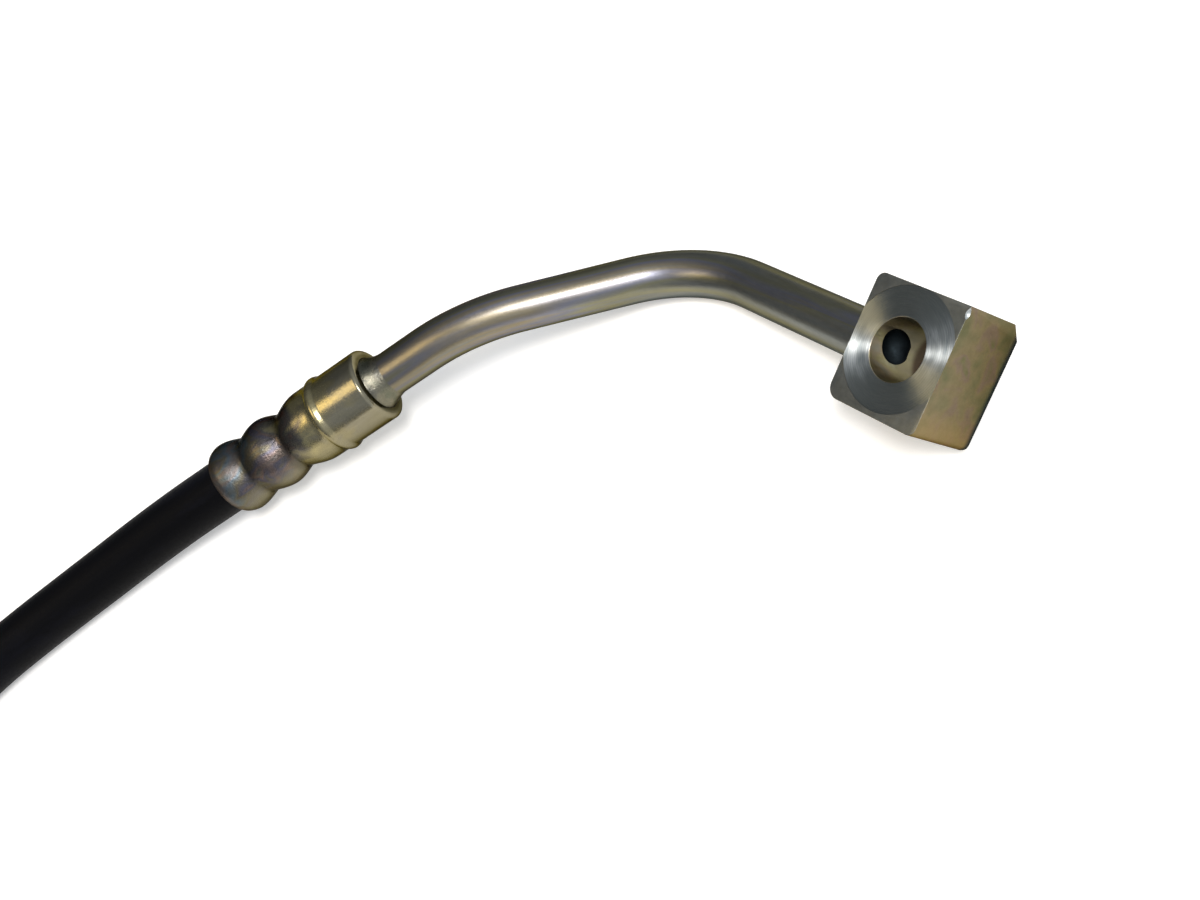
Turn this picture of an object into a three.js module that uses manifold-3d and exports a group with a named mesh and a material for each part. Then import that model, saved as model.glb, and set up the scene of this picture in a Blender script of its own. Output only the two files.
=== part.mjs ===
// Brake hose lying on a flat surface: a crimped rubber hose, a bent steel pipe and a banjo end.
// Millimetres, +Z up. The surface is z = 0 and the origin is under the middle of the steel assembly.

import * as THREE from 'three';
import { mergeVertices } from 'three/addons/utils/BufferGeometryUtils.js';
import Module from 'manifold-3d';

const wasm = await Module();
wasm.setup();

// Driving sizes

const FIT_GAP = 0.3;              // clearance between any two pieces that meet

const HOSE_DIAMETER = 10.5;
const PIPE_DIAMETER = 8;
const PIPE_BORE = 5;
const FLUID_BORE = 3;             // through the inserts inside the hose ends

const BEND_RADIUS_NEAR = 44;      // the shallow bend beside the ferrule
const BEND_RADIUS_FAR = 22;       // the close bend beside the block
const PIPE_SOCKET_DEPTH = 3.4;    // how far the pipe end goes into the block
const FILLET_RADIUS = 1.2;        // braze fillets where the pipe leaves the block and the ferrule

const CRIMP_LENGTH = 24;          // from the ferrule's mouth to the end of its third ring
const CRIMP_WALL = 1.1;
const MOUTH_RADIUS = 6.05;
const MOUTH_WALL = 0.85;
const RINGS = [[2.8, 7], [13.5, 6.75], [23.4, 6.88]];       // distance from the mouth, radius
const VALLEYS = [[9, 5.65], [17.9, 5.4]];
const BARREL_RADIUS = 6.92;
const BARREL_LENGTH = 15.2;
const BARREL_CHAMFER = 0.8;
const BEAD_RADIUS = 7.33;         // the swelling where the barrel begins
const BEAD_AT = 3.5;              // from the end of the crimp
const WEB_LENGTH = 8;             // the part of the barrel that is bored for the pipe
const STEM_RADIUS = 2.4;
const INSERT_HEAD_RADIUS = 4.8;

const BLOCK_LENGTH = 16.8;        // along the pipe
const BLOCK_HEIGHT = 19.2;        // across the pipe, in the plane of the faces
const BLOCK_THICKNESS = 13.8;     // along the bolt hole
const BLOCK_ROLL = 22.4;          // degrees, of the bolt hole about the pipe's last stretch
const BLOCK_CORNER = 2;           // the lower corner beside the pipe
const BLOCK_EDGE = 0.9;
const BLOCK_CHAMFER = 2.7;        // the long chamfer on the upper rear edge
const BOLT_HOLE_DIAMETER = 9.6;
const HOLE_RISE = 0.4;            // the hole's centre above the pipe's axis
const HOLE_CHAMFER = 0.35;
const SPOT_FACE_RADIUS = 9;        // on the front, where the cut runs out over both ends
const REAR_FACE_RADIUS = 7.8;
const SPOT_FACE_DEPTH = 0.25;
const PASSAGE_DIAMETER = 4.8;

const REAR_WEB = 4;
const HEX_ACROSS_FLATS = 15;
const HEX_LENGTH = 9;
const GROOVE_RADIUS = 5.7;
const GROOVE_WIDTH = 2.2;
const COLLAR_RADIUS = 6.6;
const COLLAR_LENGTH = 5;
const PORT_DIAMETER = 9;
const PORT_DEPTH = 11;

// Places on the surface

const FERRULE_MOUTH = new THREE.Vector3(-68, 22.4, 8.2);
const PIPE_CORNER_NEAR = new THREE.Vector3(-10.1, 25, 14.9);
const PIPE_CORNER_FAR = new THREE.Vector3(29.5, 23.2, 2.5);
const BLOCK_ENTRY = new THREE.Vector3(51.3, -11.6, 9.6);

// The free hose from the mouth of the ferrule: down to the surface, then a half turn back
const HOSE_POINTS = [
  [-68, 22.4, 8.2], [-77.9, 21.8, 7.2], [-87.9, 20.7, 6.3], [-97.8, 19.1, 5.6],
  [-107.7, 17.1, 5.3], [-117.6, 14.7, 5.3], [-127.5, 11.9, 5.3], [-137, 8.2, 5.3],
  [-146.5, 3.3, 5.3], [-155.7, -3.3, 5.3], [-163.9, -11.5, 5.3], [-170.5, -21.1, 5.3],
  [-174.9, -31.7, 5.3], [-176.8, -43.1, 5.3], [-176, -54.6, 5.3], [-172.5, -65.5, 5.3],
  [-166.5, -75.3, 5.3], [-158.3, -83.3, 5.3], [-148.5, -89.3, 5.3], [-137.7, -93.1, 5.5],
  [-126.5, -95, 6], [-114.5, -95.6, 6.7], [-102.5, -95.7, 7.3], [-92.5, -95.7, 7.5],
];

// Materials, in the colours of the finish

const finish = (color, roughness, metalness) =>
  new THREE.MeshStandardMaterial({ color, roughness, metalness });

const rubber = () => finish('#17181a', 0.62, 0);
const platedSteel = () => finish('#77756c', 0.34, 0.9);
const goldenSteel = () => finish('#7f7858', 0.4, 0.85);

// Solids and how they are joined, cut and placed

function solidFrom(geometry) {
  const bare = geometry.clone();
  bare.deleteAttribute('normal');
  bare.deleteAttribute('uv');
  const merged = mergeVertices(bare, 1e-4);
  return new wasm.Manifold(new wasm.Mesh({
    numProp: 3,
    vertProperties: new Float32Array(merged.attributes.position.array),
    triVerts: new Uint32Array(merged.index.array),
  }));
}

function geometryFrom(solid) {
  const { vertProperties, triVerts } = solid.getMesh();
  const geometry = new THREE.BufferGeometry();
  geometry.setAttribute('position', new THREE.BufferAttribute(new Float32Array(vertProperties), 3));
  geometry.setIndex(new THREE.BufferAttribute(new Uint32Array(triVerts), 1));
  geometry.computeVertexNormals();
  return geometry;
}

function meshOf(name, geometry, material) {
  const mesh = new THREE.Mesh(geometry, material);
  mesh.name = name;
  return mesh;
}

// A turned piece: [radius, distance] points revolved about +Z
function turned(points, segments = 36) {
  const profile = points.map(([radius, along]) => new THREE.Vector2(Math.max(radius, 0), along));
  return new THREE.LatheGeometry(profile, segments).rotateX(Math.PI / 2);
}

// A ring profile closes on itself
const turnedRing = (points, segments) => turned([...points, points[0]], segments);

// A plain cylinder along +Z from one distance to another
const rod = (radius, from, to, segments = 36) =>
  turned([[0, from], [radius, from], [radius, to], [0, to]], segments);

// The turn and move that carry +Z onto a direction, starting at a point
function along(start, direction) {
  const turn = new THREE.Quaternion().setFromUnitVectors(new THREE.Vector3(0, 0, 1), direction);
  return new THREE.Matrix4().compose(start, turn, new THREE.Vector3(1, 1, 1));
}

// The run of the pipe

const ferruleAxis = PIPE_CORNER_NEAR.clone().sub(FERRULE_MOUTH).normalize();
const blockAxis = BLOCK_ENTRY.clone().sub(PIPE_CORNER_FAR).normalize();
const ferruleLength = CRIMP_LENGTH + BARREL_LENGTH;
const headEnd = ferruleLength - WEB_LENGTH;

// Straight stretches with a circular bend at each inner corner, measured by length along it
class BentPath extends THREE.CurvePath {
  constructor(corners, radii) {
    super();
    let from = corners[0];
    for (let i = 1; i < corners.length - 1; i++) {
      const before = corners[i].clone().sub(corners[i - 1]).normalize();
      const after = corners[i + 1].clone().sub(corners[i]).normalize();
      const angle = before.angleTo(after);
      const setback = radii[i - 1] * Math.tan(angle / 2);
      const start = corners[i].clone().addScaledVector(before, -setback);
      const end = corners[i].clone().addScaledVector(after, setback);
      this.add(new THREE.LineCurve3(from, start));
      this.add(new Bend(start, before, after, radii[i - 1], angle));
      from = end;
    }
    this.add(new THREE.LineCurve3(from, corners[corners.length - 1]));
  }
}

class Bend extends THREE.Curve {
  constructor(start, before, after, radius, angle) {
    super();
    const inward = after.clone().addScaledVector(before, -after.dot(before)).normalize();
    Object.assign(this, { start, before, inward, radius, angle });
  }

  getPoint(t, target = new THREE.Vector3()) {
    const turn = this.angle * t;
    return target.copy(this.start)
      .addScaledVector(this.before, this.radius * Math.sin(turn))
      .addScaledVector(this.inward, this.radius * (1 - Math.cos(turn)));
  }
}

function disc(radius, sides) {
  const shape = new THREE.Shape();
  shape.absarc(0, 0, radius, 0, Math.PI * 2, false);
  return new THREE.Shape(shape.getSpacedPoints(sides).slice(0, sides));
}

function sweep(shape, path, steps) {
  return new THREE.ExtrudeGeometry(shape, { steps, bevelEnabled: false, extrudePath: path });
}

function makePipe() {
  const start = FERRULE_MOUTH.clone().addScaledVector(ferruleAxis, headEnd + FIT_GAP);
  const end = BLOCK_ENTRY.clone().addScaledVector(blockAxis, PIPE_SOCKET_DEPTH - FIT_GAP);
  const corners = [start, PIPE_CORNER_NEAR, PIPE_CORNER_FAR, end];
  const path = new BentPath(corners, [BEND_RADIUS_NEAR, BEND_RADIUS_FAR]);
  const wall = disc(PIPE_DIAMETER / 2, 20);
  wall.holes.push(disc(PIPE_BORE / 2, 10));
  return sweep(wall, path, 46);
}

// The crimped ends

// The outside of the crimp: three pressed rings with smooth valleys between them
function crimpOutside() {
  const lows = [[0, MOUTH_RADIUS], ...VALLEYS];
  const points = [[MOUTH_RADIUS, 0]];
  const rise = (low, ring, share) => [
    low[1] + (ring[1] - low[1]) * Math.sin(share ** 1.15 * Math.PI / 2),
    low[0] + (ring[0] - low[0]) * share,
  ];
  RINGS.forEach((ring, i) => {
    points.push(...[0.3, 0.6, 1].map((share) => rise(lows[i], ring, share)));
    if (i < VALLEYS.length) {
      points.push(...[0.7, 0.4, 0.15, 0].map((share) => rise(VALLEYS[i], ring, share)));
    }
  });
  return points;
}

// The rings and valleys alone, for the surfaces inside
const crimpKnots = () => [
  [MOUTH_RADIUS, 0, MOUTH_WALL],
  ...[RINGS[0], VALLEYS[0], RINGS[1], VALLEYS[1], RINGS[2]]
    .map(([at, radius]) => [radius, at, CRIMP_WALL]),
];

// A hollow shell: the crimp, then a barrel whose inner steps are [radius, from, to]
function makeFerrule(barrelLength, steps) {
  const outside = crimpOutside();
  const full = CRIMP_LENGTH + barrelLength;
  const bead = CRIMP_LENGTH + BEAD_AT;
  const beads = full > bead + 4 ? [
    [BARREL_RADIUS + 0.15, bead - 1.6], [BEAD_RADIUS - 0.08, bead - 0.7], [BEAD_RADIUS, bead],
    [BEAD_RADIUS - 0.08, bead + 0.5], [BARREL_RADIUS + 0.1, bead + 1.8],
    [BARREL_RADIUS, bead + 3],
  ] : [];
  const barrel = [
    [BARREL_RADIUS, CRIMP_LENGTH + 0.6], ...beads,
    [BARREL_RADIUS, full - BARREL_CHAMFER], [BARREL_RADIUS - BARREL_CHAMFER, full],
  ];
  const inside = crimpKnots().map(([radius, at, wall]) => [radius - wall, at]);
  inside.push([inside[inside.length - 1][0], CRIMP_LENGTH]);
  const bore = steps.flatMap(([radius, from, to]) => [[radius, from], [radius, to]]);
  return turnedRing([...outside, ...barrel, ...bore.reverse(), ...inside.reverse()]);
}

// The rubber pressed inside the shell, with room for the stem
function makeCrimpedRubber() {
  const deep = CRIMP_LENGTH - FIT_GAP;
  const skin = crimpKnots().map(([radius, at, wall]) => [radius - wall - FIT_GAP, at]);
  const [innerEnd] = skin[skin.length - 1];
  const core = STEM_RADIUS + FIT_GAP;
  return turnedRing([
    [core, -1], [skin[0][0], -1], ...skin, [innerEnd, deep], [core, deep],
  ], 24);
}

// The stem that the crimp presses the rubber onto
const stemProfile = (tip) => [
  [FLUID_BORE / 2, tip], [STEM_RADIUS - 0.4, tip], [STEM_RADIUS, tip + 1.2],
  [STEM_RADIUS, tip + 7], [STEM_RADIUS - 0.3, tip + 7.4], [STEM_RADIUS, tip + 8.6],
  [STEM_RADIUS, tip + 14], [STEM_RADIUS - 0.3, tip + 14.4], [STEM_RADIUS, tip + 15.6],
];

function makeFrontInsert() {
  return turnedRing([
    ...stemProfile(1.5),
    [STEM_RADIUS, CRIMP_LENGTH], [INSERT_HEAD_RADIUS, CRIMP_LENGTH],
    [INSERT_HEAD_RADIUS, headEnd], [FLUID_BORE / 2, headEnd],
  ], 32);
}

// A concave fillet round the pipe, standing on a face at distance 0 and rising to +Z
function braze(length = FILLET_RADIUS) {
  const inner = PIPE_DIAMETER / 2 + FIT_GAP;
  const outer = PIPE_DIAMETER / 2 + FILLET_RADIUS;
  const curve = [0, 0.25, 0.5, 0.75, 1].map((t) => {
    const turn = t * Math.PI / 2;
    return [
      outer + FIT_GAP - (outer + FIT_GAP - inner) * Math.sin(turn),
      length * (1 - Math.cos(turn)),
    ];
  });
  return turnedRing([[inner, -1], [outer + FIT_GAP, -1], ...curve.slice(0, 4), [inner + 0.1, length]]);
}

function makeFrontFerrule() {
  const shell = makeFerrule(BARREL_LENGTH, [
    [INSERT_HEAD_RADIUS + FIT_GAP, CRIMP_LENGTH, headEnd],
    [PIPE_DIAMETER / 2 + FIT_GAP, headEnd, ferruleLength],
  ]);
  const fillet = braze(0.9).translate(0, 0, ferruleLength);
  return geometryFrom(solidFrom(shell).add(solidFrom(fillet)));
}

// The banjo block, with the pipe's axis along +X, its height along +Y and the bolt hole along +Z

function facePlan() {
  const [left, right] = [0, BLOCK_LENGTH];
  const [low, high] = [-BLOCK_HEIGHT / 2, BLOCK_HEIGHT / 2];
  const plan = new THREE.Shape();
  plan.moveTo(left + BLOCK_CORNER, low);
  plan.lineTo(right - BLOCK_EDGE, low);
  plan.absarc(right - BLOCK_EDGE, low + BLOCK_EDGE, BLOCK_EDGE, -Math.PI / 2, 0, false);
  plan.lineTo(right, high - BLOCK_EDGE);
  plan.absarc(right - BLOCK_EDGE, high - BLOCK_EDGE, BLOCK_EDGE, 0, Math.PI / 2, false);
  plan.lineTo(left + BLOCK_EDGE, high);
  plan.absarc(left + BLOCK_EDGE, high - BLOCK_EDGE, BLOCK_EDGE, Math.PI / 2, Math.PI, false);
  plan.lineTo(left, low + BLOCK_CORNER);
  plan.absarc(left + BLOCK_CORNER, low + BLOCK_CORNER, BLOCK_CORNER, Math.PI, 1.5 * Math.PI, false);
  return plan;
}

// Seen along the pipe: height to the right, thickness up
function endPlan() {
  const [low, high] = [-BLOCK_HEIGHT / 2, BLOCK_HEIGHT / 2];
  const [back, front] = [-BLOCK_THICKNESS / 2, BLOCK_THICKNESS / 2];
  const plan = new THREE.Shape();
  plan.moveTo(low + BLOCK_EDGE, back);
  plan.lineTo(high - BLOCK_CHAMFER, back);
  plan.lineTo(high, back + BLOCK_CHAMFER);
  plan.lineTo(high, front - BLOCK_EDGE);
  plan.absarc(high - BLOCK_EDGE, front - BLOCK_EDGE, BLOCK_EDGE, 0, Math.PI / 2, false);
  plan.lineTo(low + BLOCK_EDGE, front);
  plan.absarc(low + BLOCK_EDGE, front - BLOCK_EDGE, BLOCK_EDGE, Math.PI / 2, Math.PI, false);
  plan.lineTo(low, back + BLOCK_EDGE);
  plan.absarc(low + BLOCK_EDGE, back + BLOCK_EDGE, BLOCK_EDGE, Math.PI, 1.5 * Math.PI, false);
  return plan;
}

function makeBlock() {
  const half = BLOCK_THICKNESS / 2;
  const bars = { bevelEnabled: false, curveSegments: 5 };
  const across = new THREE.ExtrudeGeometry(facePlan(), { ...bars, depth: BLOCK_THICKNESS + 2 })
    .translate(0, 0, -half - 1);
  const lengthwise = new THREE.ExtrudeGeometry(endPlan(), { ...bars, depth: BLOCK_LENGTH + 2 })
    .applyMatrix4(new THREE.Matrix4().makeBasis(
      new THREE.Vector3(0, 1, 0), new THREE.Vector3(0, 0, 1), new THREE.Vector3(1, 0, 0)))
    .translate(-1, 0, 0);
  const onHole = (geometry) => solidFrom(geometry.translate(BLOCK_LENGTH / 2, HOLE_RISE, 0));
  const onPipe = (geometry) => solidFrom(geometry.rotateY(Math.PI / 2));
  const boltRadius = BOLT_HOLE_DIAMETER / 2;
  const floor = half - SPOT_FACE_DEPTH;
  const facing = (radius) => turned([
    [0, floor - HOLE_CHAMFER], [boltRadius, floor - HOLE_CHAMFER],
    [boltRadius + HOLE_CHAMFER, floor], [radius, floor], [radius, half + 2], [0, half + 2],
  ], 48);
  return geometryFrom(
    solidFrom(across)
      .intersect(solidFrom(lengthwise))
      .add(onPipe(braze().rotateX(Math.PI)))
      .subtract(onHole(rod(boltRadius, -half - 1, half + 1, 48)))
      .subtract(onHole(facing(SPOT_FACE_RADIUS)))
      .subtract(onHole(facing(REAR_FACE_RADIUS).rotateX(Math.PI)))
      .subtract(onPipe(rod(PASSAGE_DIAMETER / 2, -1, BLOCK_LENGTH / 2, 24)))
      .subtract(onPipe(rod(PIPE_DIAMETER / 2 + FIT_GAP, -4, PIPE_SOCKET_DEPTH, 32))),
  );
}

// The far end of the hose: a shell like the first, on a hexagon fitting with a threaded port

function makeRearFerrule() {
  return makeFerrule(REAR_WEB, [
    [PIPE_DIAMETER / 2 + FIT_GAP, CRIMP_LENGTH, CRIMP_LENGTH + REAR_WEB],
  ]);
}

function makeRearFitting() {
  const hexFrom = CRIMP_LENGTH + REAR_WEB + FIT_GAP;
  const hexTo = hexFrom + HEX_LENGTH;
  const grooveTo = hexTo + GROOVE_WIDTH;
  const end = grooveTo + COLLAR_LENGTH;
  const portRadius = PORT_DIAMETER / 2;
  const corner = HEX_ACROSS_FLATS / Math.sqrt(3);
  const body = turnedRing([
    ...stemProfile(1.5),
    [STEM_RADIUS, CRIMP_LENGTH - FIT_GAP], [PIPE_DIAMETER / 2, CRIMP_LENGTH - FIT_GAP],
    [PIPE_DIAMETER / 2, hexFrom], [corner - 0.9, hexFrom], [corner, hexFrom + 0.5],
    [corner, hexTo - 0.5], [corner - 0.9, hexTo], [GROOVE_RADIUS, hexTo],
    [GROOVE_RADIUS, grooveTo], [COLLAR_RADIUS, grooveTo], [COLLAR_RADIUS, end - 0.6],
    [COLLAR_RADIUS - 0.6, end], [portRadius + 0.4, end], [portRadius, end - 0.6],
    [portRadius, end - PORT_DEPTH], [FLUID_BORE / 2, end - PORT_DEPTH + 1.6],
  ], 36);
  const flats = new THREE.CylinderGeometry(corner, corner, end + 2, 6)
    .rotateX(Math.PI / 2)
    .translate(0, 0, end / 2);
  return geometryFrom(solidFrom(body).intersect(solidFrom(flats)));
}

// The free hose and the rubber inside both crimps, one piece

const hosePath = new THREE.CatmullRomCurve3(
  HOSE_POINTS.map((point) => new THREE.Vector3(...point)), false, 'centripetal');
const rearAxis = new THREE.Vector3(1, 0, 0);
const rearMouth = hosePath.points[hosePath.points.length - 1];
const atFront = along(FERRULE_MOUTH, ferruleAxis);
const atRear = along(rearMouth, rearAxis);

class Trimmed extends THREE.Curve {
  constructor(path, cut) {
    super();
    this.path = path;
    this.share = cut / path.getLength();
  }

  getPoint(t, target) {
    return this.path.getPointAt(this.share + t * (1 - 2 * this.share), target);
  }
}

function makeHose() {
  const free = sweep(disc(HOSE_DIAMETER / 2, 12), new Trimmed(hosePath, FIT_GAP), 34);
  return geometryFrom(
    solidFrom(free)
      .add(solidFrom(makeCrimpedRubber().applyMatrix4(atFront)))
      .add(solidFrom(makeCrimpedRubber().applyMatrix4(atRear))),
  );
}

// The whole assembly, each piece placed where it lies

function placed(name, geometry, material, matrix) {
  const mesh = meshOf(name, geometry, material);
  matrix.decompose(mesh.position, mesh.quaternion, mesh.scale);
  return mesh;
}

const level = new THREE.Vector3(0, 0, 1);
const holeAxis = level.clone()
  .addScaledVector(blockAxis, -level.dot(blockAxis))
  .normalize()
  .applyAxisAngle(blockAxis, THREE.MathUtils.degToRad(BLOCK_ROLL));
const heightAxis = holeAxis.clone().cross(blockAxis);
const atBlock = new THREE.Matrix4()
  .makeBasis(blockAxis, heightAxis, holeAxis)
  .setPosition(BLOCK_ENTRY);

const brakeHose = new THREE.Group();
brakeHose.add(
  placed('banjo_block', makeBlock(), goldenSteel(), atBlock),
  meshOf('pipe', makePipe(), platedSteel()),
  placed('front_ferrule', makeFrontFerrule(), platedSteel(), atFront),
  placed('front_insert', makeFrontInsert(), platedSteel(), atFront),
  meshOf('hose', makeHose(), rubber()),
  placed('rear_ferrule', makeRearFerrule(), platedSteel(), atRear),
  placed('rear_fitting', makeRearFitting(), platedSteel(), atRear),
);

export default brakeHose;
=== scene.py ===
# Brake hose on a pale surface: rubber hose, crimped ferrules, bent pipe and banjo block.
# Sizes are in millimetres here and become metres in the meshes.

import math

import bmesh
import bpy
import numpy as np
from mathutils import Matrix, Vector


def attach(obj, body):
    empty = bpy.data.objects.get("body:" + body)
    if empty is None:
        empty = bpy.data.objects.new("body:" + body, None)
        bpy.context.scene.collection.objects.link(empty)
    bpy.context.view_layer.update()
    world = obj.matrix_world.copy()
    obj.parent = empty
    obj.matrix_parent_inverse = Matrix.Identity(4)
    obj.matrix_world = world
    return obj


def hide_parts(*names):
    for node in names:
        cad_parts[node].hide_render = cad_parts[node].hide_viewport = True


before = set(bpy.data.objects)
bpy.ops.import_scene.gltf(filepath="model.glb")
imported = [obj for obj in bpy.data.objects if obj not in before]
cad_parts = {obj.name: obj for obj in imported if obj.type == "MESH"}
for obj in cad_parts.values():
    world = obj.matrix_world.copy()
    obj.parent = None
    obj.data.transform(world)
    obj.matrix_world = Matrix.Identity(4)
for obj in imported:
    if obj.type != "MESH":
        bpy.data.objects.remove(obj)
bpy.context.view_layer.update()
mm = 0.001
tiny = 0.001 * mm  # points closer than this are one

# where the steel assembly lies
layout = {
    "ferruleMouth": Vector((-68, 22.4, 8.2)),
    "cornerNear": Vector((-10.1, 25, 14.9)),
    "cornerFar": Vector((29.5, 23.2, 2.5)),
    "blockEntry": Vector((51.3, -11.6, 9.6)),
    "blockRoll": 22.4,
}
ferruleAxis = (layout["cornerNear"] - layout["ferruleMouth"]).normalized()
blockAxis = (layout["blockEntry"] - layout["cornerFar"]).normalized()


def axesAlong(start, axis, sideways=Vector((0, 0, 1))):
    # in metres: local +Z runs along the axis, local +X points as far as it can to sideways
    x = (sideways - axis * sideways.dot(axis)).normalized()
    y = axis.cross(x)
    matrix = Matrix((x, y, axis)).transposed().to_4x4()
    matrix.translation = start * mm
    return matrix


def blockPlace():
    # in metres: x along the pipe, z along the bolt hole
    up = Vector((0, 0, 1))
    hole = (up - blockAxis * up.dot(blockAxis)).normalized()
    hole.rotate(Matrix.Rotation(math.radians(layout["blockRoll"]), 3, blockAxis))
    across = hole.cross(blockAxis)
    matrix = Matrix((blockAxis, across, hole)).transposed().to_4x4()
    matrix.translation = layout["blockEntry"] * mm
    return matrix


blockAxes = blockPlace()


def metres(point):
    return tuple(c * mm for c in point)


def addObject(name, data):
    piece = bpy.data.objects.new(name, data)
    bpy.context.scene.collection.objects.link(piece)
    return piece


# camera

cameraView = {
    "place": (58.05, -119.24, 173.23),
    "right": (0.8722, -0.2233, -0.4352),  # the picture's right-hand direction
    "back": (0.2582, -0.5455, 0.7973),  # from the aim towards the camera
    "lens": 39,
    "sensor": 36,
    "clip": (5, 20000),
}


def makeCamera(view):
    data = bpy.data.cameras.new("viewCamera")
    data.lens, data.sensor_width = view["lens"], view["sensor"]
    data.clip_start, data.clip_end = metres(view["clip"])
    camera = addObject("viewCamera", data)
    back = Vector(view["back"]).normalized()
    up = back.cross(Vector(view["right"])).normalized()
    turn = Matrix((up.cross(back), up, back)).transposed().to_4x4()
    turn.translation = Vector(view["place"]) * mm
    camera.matrix_world = turn
    bpy.context.scene.camera = camera
    print("camera set")


makeCamera(cameraView)


# materials

def linear(code):
    channels = [int(code[i:i + 2], 16) / 255 for i in (1, 3, 5)]
    return [c / 12.92 if c <= 0.04045 else ((c + 0.055) / 1.055) ** 2.4 for c in channels] + [1]


def addNode(tree, kind, inputs=None, stops=(), **settings):
    # an input goes by its name or by its number in the node's list; a node given as an input
    # is linked by its first live output; stops are for a colour ramp
    node = tree.nodes.new(kind)
    for name, value in settings.items():
        setattr(node, name, value)
    for i, (at, tone) in enumerate(stops):
        elements = node.color_ramp.elements
        element = elements[i] if i < len(elements) else elements.new(at)
        element.position = at
        element.color = linear(tone) if isinstance(tone, str) else (tone, tone, tone, 1)
    for key, value in (inputs or {}).items():
        if isinstance(value, bpy.types.Node):
            value = next(socket for socket in value.outputs if socket.enabled)
        if isinstance(value, bpy.types.NodeSocket):
            tree.links.new(value, node.inputs[key])
        else:
            node.inputs[key].default_value = value
    return node


def newMaterial(name):
    material = bpy.data.materials.new(name)
    material.use_nodes = True
    tree = material.node_tree
    tree.nodes.clear()
    return material, tree


# grain, drag and bloom are how wide each pattern is; relief is how deep the skin's is
rubberLook = {
    "dark": "#040405",
    "light": "#08080a",
    "dust": "#11121a",
    "grain": 0.5,
    "drag": 0.9,
    "bloom": 9,
    "haze": [(0.5, 0.0), (0.72, 0.5)],
    "gloss": [(0.3, 0.46), (0.7, 0.62)],
    "relief": 0.04,
}


def rubberMaterial(look):
    # extruded EPDM rubber: black, almost without gloss, with fine lengthwise drag lines
    # and a little bluish bloom
    material, tree = newMaterial("extrudedRubber")
    place = addNode(tree, "ShaderNodeAttribute", attribute_name="place").outputs["Vector"]
    grain = addNode(tree, "ShaderNodeTexNoise", {
        "Vector": place, "Scale": 1 / (look["grain"] * mm), "Detail": 4, "Roughness": 0.6})
    drawn = addNode(tree, "ShaderNodeMapping", {"Vector": place, "Scale": (1, 1, 0.04)})
    drag = addNode(tree, "ShaderNodeTexNoise", {
        "Vector": drawn, "Scale": 1 / (look["drag"] * mm), "Detail": 3})
    base = addNode(tree, "ShaderNodeMix", {
        0: drag, 6: linear(look["dark"]), 7: linear(look["light"])}, data_type="RGBA")
    longer = addNode(tree, "ShaderNodeMapping", {"Vector": place, "Scale": (1, 1, 0.3)})
    bloom = addNode(tree, "ShaderNodeTexNoise", {
        "Vector": longer, "Scale": 1 / (look["bloom"] * mm), "Detail": 4, "Roughness": 0.7})
    haze = addNode(tree, "ShaderNodeValToRGB", {0: bloom}, stops=look["haze"])
    colour = addNode(tree, "ShaderNodeMix", {0: haze, 6: base, 7: linear(look["dust"])},
                     data_type="RGBA")
    gloss = addNode(tree, "ShaderNodeValToRGB", {0: grain}, stops=look["gloss"])
    height = addNode(tree, "ShaderNodeMath", {0: grain, 1: drag}, operation="ADD")
    bump = addNode(tree, "ShaderNodeBump", {
        "Height": height, "Distance": look["relief"] * mm, "Strength": 0.6})
    shader = addNode(tree, "ShaderNodeBsdfPrincipled", {
        "Base Color": colour, "Roughness": gloss, "Specular IOR Level": 0.05, "Normal": bump})
    addNode(tree, "ShaderNodeOutputMaterial", {"Surface": shader})
    return material


noiseLow, noiseHigh = 0.3, 0.7  # a noise texture seldom leaves this range


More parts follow.
